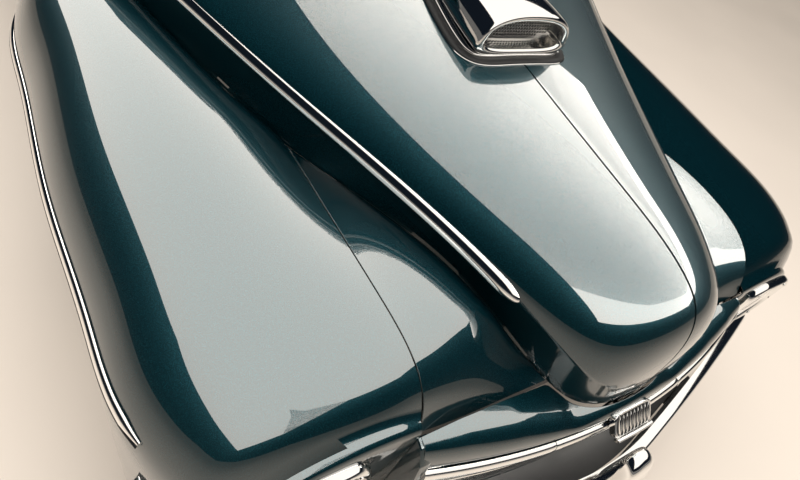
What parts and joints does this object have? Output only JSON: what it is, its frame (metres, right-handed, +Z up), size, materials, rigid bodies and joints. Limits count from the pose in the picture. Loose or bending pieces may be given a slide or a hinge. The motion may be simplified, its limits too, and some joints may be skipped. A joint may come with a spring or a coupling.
{
  "type": "classic car, late-1940s two-door fastback",
  "caption": "Full-size late-1940s two-door fastback with an opening hood, trunk lid and doors, steered front wheels and free rolling wheels.",
  "frame": {"origin": "on the ground under the middle of the car", "axes": "+X forward, +Y to the car's left, +Z up"},
  "size_m": [5.1996, 1.9546, 1.6124],
  "materials": {
    "body_paint": "deep teal gloss paint",
    "chrome": "polished chrome",
    "glass": "clear, faintly green",
    "lamp_red": "red lens",
    "screen": "perforated steel",
    "frame_paint": "satin black",
    "floor_paint": "satin black with carpet",
    "engine_paint": "painted iron",
    "radiator_metal": "black core",
    "exhaust_steel": "dull steel",
    "knuckle_iron": "forged iron",
    "seat_cloth": "grey-tan ribbed cloth",
    "dash_paint": "painted metal",
    "wheel_plastic": "ivory plastic",
    "tyre": "black rubber with a pale wall band",
    "wheel_paint": "teal gloss paint"
  },
  "bodies": {
    "root": {"body_sides": "body_paint", "catwalks": "body_paint", "chassis_frame": "frame_paint", "cowl": "body_paint", "dashboard": "dash_paint", "driveshaft": "frame_paint", "engine_block": "engine_paint", "exhaust": "exhaust_steel", "fixed_glass": "glass", "floor_pan": "floor_paint", "front_bumper": "chrome", "front_fenders": "body_paint", "front_seat": "seat_cloth", "front_suspension": "frame_paint", "fuel_tank": "frame_paint", "grille": "chrome", "headlamp_bezels": "chrome", "headlamp_lenses": "glass", "nose_panels": "body_paint", "radiator": "radiator_metal", "rear_axle": "frame_paint", "rear_bumper": "chrome", "rear_fenders": "body_paint", "rear_seat": "seat_cloth", "rear_springs": "frame_paint", "rockers": "body_paint", "roof_panel": "body_paint", "steering_column": "dash_paint", "tail_lamps": "lamp_red", "tail_panel": "body_paint"},
    "hood": {"hood_left": "body_paint", "hood_right": "body_paint", "hood_scoop": "chrome", "scoop_screen": "screen"},
    "trunk": {"trunk_lid": "body_paint"},
    "left_door": {"door_left": "body_paint", "door_glass_left": "glass"},
    "right_door": {"door_right": "body_paint", "door_glass_right": "glass"},
    "left_knuckle": {"knuckle_left": "knuckle_iron"},
    "right_knuckle": {"knuckle_right": "knuckle_iron"},
    "steering": {"steering_wheel": "wheel_plastic"},
    "front_left_wheel": {"tyre_front_left": "tyre", "wheel_front_left": "wheel_paint"},
    "front_right_wheel": {"tyre_front_right": "tyre", "wheel_front_right": "wheel_paint"},
    "rear_left_wheel": {"tyre_rear_left": "tyre", "wheel_rear_left": "wheel_paint"},
    "rear_right_wheel": {"tyre_rear_right": "tyre", "wheel_rear_right": "wheel_paint"}
  },
  "joints": [
    {"name": "hood_open", "type": "hinge", "parent": "root", "child": "hood", "pos_m": [1.0525, 0, 1.078], "axis": [0, -1, 0], "range_deg": [0, 48]},
    {"name": "trunk_open", "type": "hinge", "parent": "root", "child": "trunk", "pos_m": [-1.846, 0, 1.222], "axis": [0, 1, 0], "range_deg": [0, 62]},
    {"name": "left_door_open", "type": "hinge", "parent": "root", "child": "left_door", "pos_m": [0.953, 0.85, 0.65], "axis": [0, 0, -1], "range_deg": [0, 65]},
    {"name": "right_door_open", "type": "hinge", "parent": "root", "child": "right_door", "pos_m": [0.953, -0.85, 0.65], "axis": [0, 0, 1], "range_deg": [0, 65]},
    {"name": "steer_left", "type": "hinge", "parent": "root", "child": "left_knuckle", "pos_m": [1.7, 0.68, 0.36], "axis": [0, 0, 1], "range_deg": [-30, 30]},
    {"name": "steer_right", "type": "hinge", "parent": "root", "child": "right_knuckle", "pos_m": [1.7, -0.68, 0.36], "axis": [0, 0, 1], "range_deg": [-30, 30]},
    {"name": "steering_turn", "type": "hinge", "parent": "root", "child": "steering", "pos_m": [0.48, 0.38, 0.925], "axis": [-0.8417, 0, 0.5399], "range_deg": [-540, 540]},
    {"name": "front_left_spin", "type": "hinge", "parent": "left_knuckle", "child": "front_left_wheel", "pos_m": [1.7, 0.73, 0.36], "axis": [0, 1, 0], "continuous": true},
    {"name": "front_right_spin", "type": "hinge", "parent": "right_knuckle", "child": "front_right_wheel", "pos_m": [1.7, -0.73, 0.36], "axis": [0, 1, 0], "continuous": true},
    {"name": "rear_left_spin", "type": "hinge", "parent": "root", "child": "rear_left_wheel", "pos_m": [-1.35, 0.75, 0.36], "axis": [0, 1, 0], "continuous": true},
    {"name": "rear_right_spin", "type": "hinge", "parent": "root", "child": "rear_right_wheel", "pos_m": [-1.35, -0.75, 0.36], "axis": [0, 1, 0], "continuous": true}
  ],
  "couplings": [
    {"joint": "steer_right", "follows": "steer_left", "ratio": 1},
    {"joint": "steering_turn", "follows": "steer_left", "ratio": 18}
  ]
}
